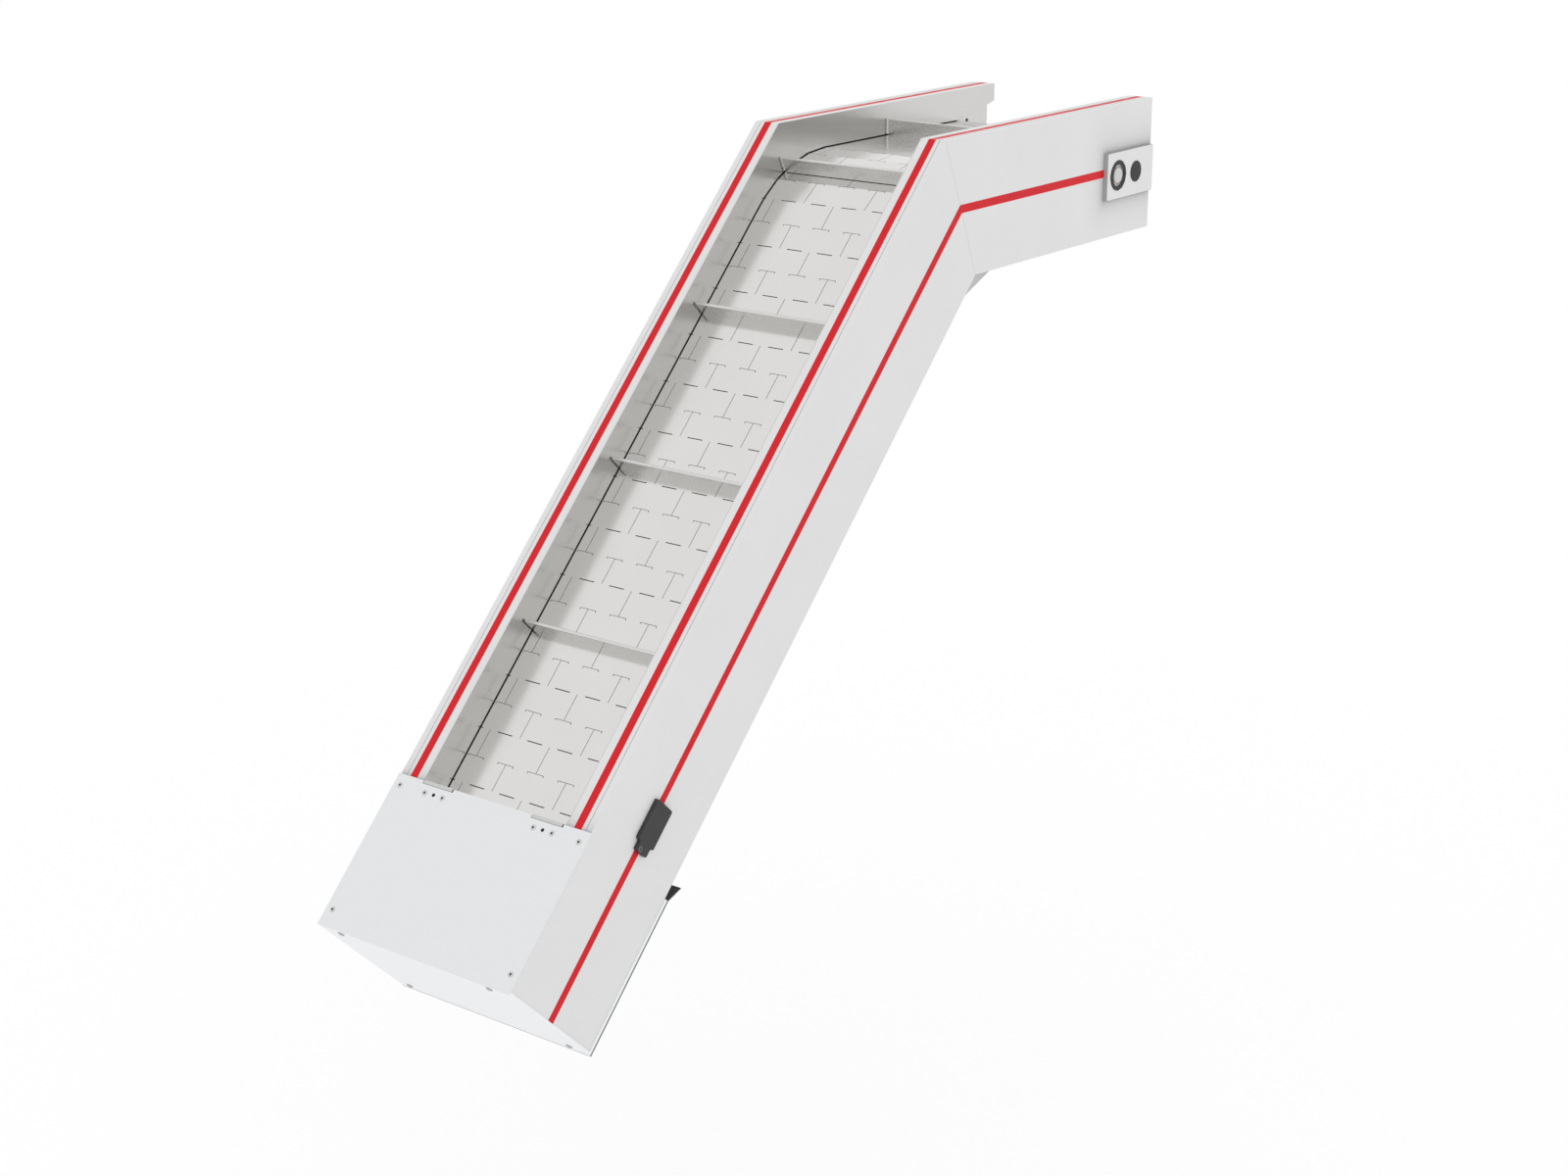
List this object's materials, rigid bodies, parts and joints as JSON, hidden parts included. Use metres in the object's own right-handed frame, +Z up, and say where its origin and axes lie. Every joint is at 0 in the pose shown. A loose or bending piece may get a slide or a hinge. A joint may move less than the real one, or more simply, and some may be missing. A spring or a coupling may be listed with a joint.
{
  "type": "steel plate conveyor",
  "caption": "Inclined conveyor with hollow side beams, a hinged plate belt carrying upright cleats, a closed tail box and a level discharge head.",
  "frame": {"origin": "middle of the underside of the head cross plate, where the level head section is bolted to its stand", "axes": "+X along the level head section in the direction of travel, +Y to the left of it, +Z up; the incline runs down and back toward -X"},
  "size_m": [1.8753, 0.431, 1.3403],
  "materials": {
    "frame_paint": "satin light grey paint",
    "cover_paint": "satin near-white paint",
    "bracket_paint": "satin grey paint",
    "red_strip": "smooth red",
    "belt_plates": "light, finely brushed",
    "dark_plastic": "matte dark grey",
    "button_plastic": "matte grey",
    "rubber_lining": "matte dark grey",
    "sheet_steel": "satin grey paint",
    "bright_steel": "turned",
    "guide_plastic": "matte dark grey",
    "bearing_iron": "matte dark grey"
  },
  "bodies": {
    "root": {"incline_beam_right": "frame_paint", "incline_beam_left": "frame_paint", "head_beam_right": "frame_paint", "head_beam_left": "frame_paint", "top_strip_right": "red_strip", "top_strip_left": "red_strip", "side_strip_right": "red_strip", "side_strip_left": "red_strip", "tail_cover": "cover_paint", "cover_brackets": "bracket_paint", "end_plate": "cover_paint", "bottom_cover": "cover_paint", "guard_lining": "rubber_lining", "lower_guard": "cover_paint", "incline_pan": "sheet_steel", "head_pan": "sheet_steel", "knee_bracket": "bracket_paint", "head_cross_plate": "sheet_steel", "incline_cross_plate": "sheet_steel", "belt": "belt_plates", "cleats": "belt_plates", "slider_bed": "sheet_steel", "return_guides": "guide_plastic", "head_plate_right": "frame_paint", "head_plate_left": "frame_paint", "bearing_rings": "dark_plastic", "bearing_sleeves": "bright_steel", "plate_caps": "dark_plastic", "head_shaft": "bright_steel", "head_sprockets": "guide_plastic", "tail_shaft": "bright_steel", "tail_sprockets": "guide_plastic", "tail_bearings": "bearing_iron", "controller_case": "dark_plastic", "controller_button": "button_plastic"}
  },
  "joints": []
}
